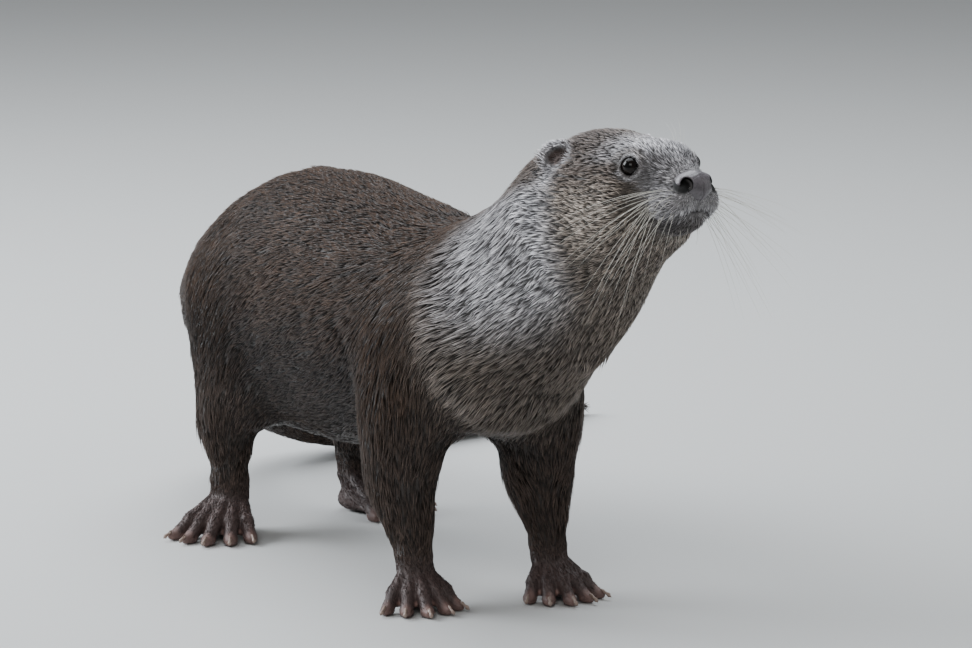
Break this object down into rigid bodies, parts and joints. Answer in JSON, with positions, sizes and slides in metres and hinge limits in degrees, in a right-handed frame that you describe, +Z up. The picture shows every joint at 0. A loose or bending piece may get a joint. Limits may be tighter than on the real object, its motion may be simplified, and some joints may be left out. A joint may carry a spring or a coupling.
{
  "type": "Eurasian river otter still model",
  "caption": "Life-size river otter standing on its webbed feet, head raised and turned a little to its left, long tapering tail laid on the floor in a curve.",
  "frame": {"origin": "centre of the footprint, on the floor that the soles and the tail rest on", "axes": "+X is the way the body faces and its longest extent, +Y is the animal's left, +Z is up"},
  "size_m": [0.7292, 0.4842, 0.3229],
  "materials": {
    "coat": "dark brown fur, slightly damp, in fine pointed locks",
    "pale_coat": "grey-brown fur, paler on the throat and cheeks",
    "foot_skin": "short-haired skin with webs between the toes",
    "nose_pad": "damp, finely pebbled nose skin",
    "eye": "wet, near-black eye",
    "claw": "short horn claw"
  },
  "bodies": {
    "root": {"claw_fore_left_1": "claw", "claw_fore_left_2": "claw", "claw_fore_left_3": "claw", "claw_fore_left_4": "claw", "claw_fore_left_5": "claw", "claw_fore_right_1": "claw", "claw_fore_right_2": "claw", "claw_fore_right_3": "claw", "claw_fore_right_4": "claw", "claw_fore_right_5": "claw", "claw_hind_left_1": "claw", "claw_hind_left_2": "claw", "claw_hind_left_3": "claw", "claw_hind_left_4": "claw", "claw_hind_left_5": "claw", "claw_hind_right_1": "claw", "claw_hind_right_2": "claw", "claw_hind_right_3": "claw", "claw_hind_right_4": "claw", "claw_hind_right_5": "claw", "ear_left": "pale_coat", "ear_right": "pale_coat", "eye_left": "eye", "eye_right": "eye", "forefoot_left": "foot_skin", "forefoot_right": "foot_skin", "foreleg_left": "coat", "foreleg_right": "coat", "head": "pale_coat", "hindfoot_left": "foot_skin", "hindfoot_right": "foot_skin", "hindleg_left": "coat", "hindleg_right": "coat", "neck": "pale_coat", "nose": "nose_pad", "tail_base": "coat", "tail_end": "coat", "trunk": "coat"}
  },
  "joints": []
}
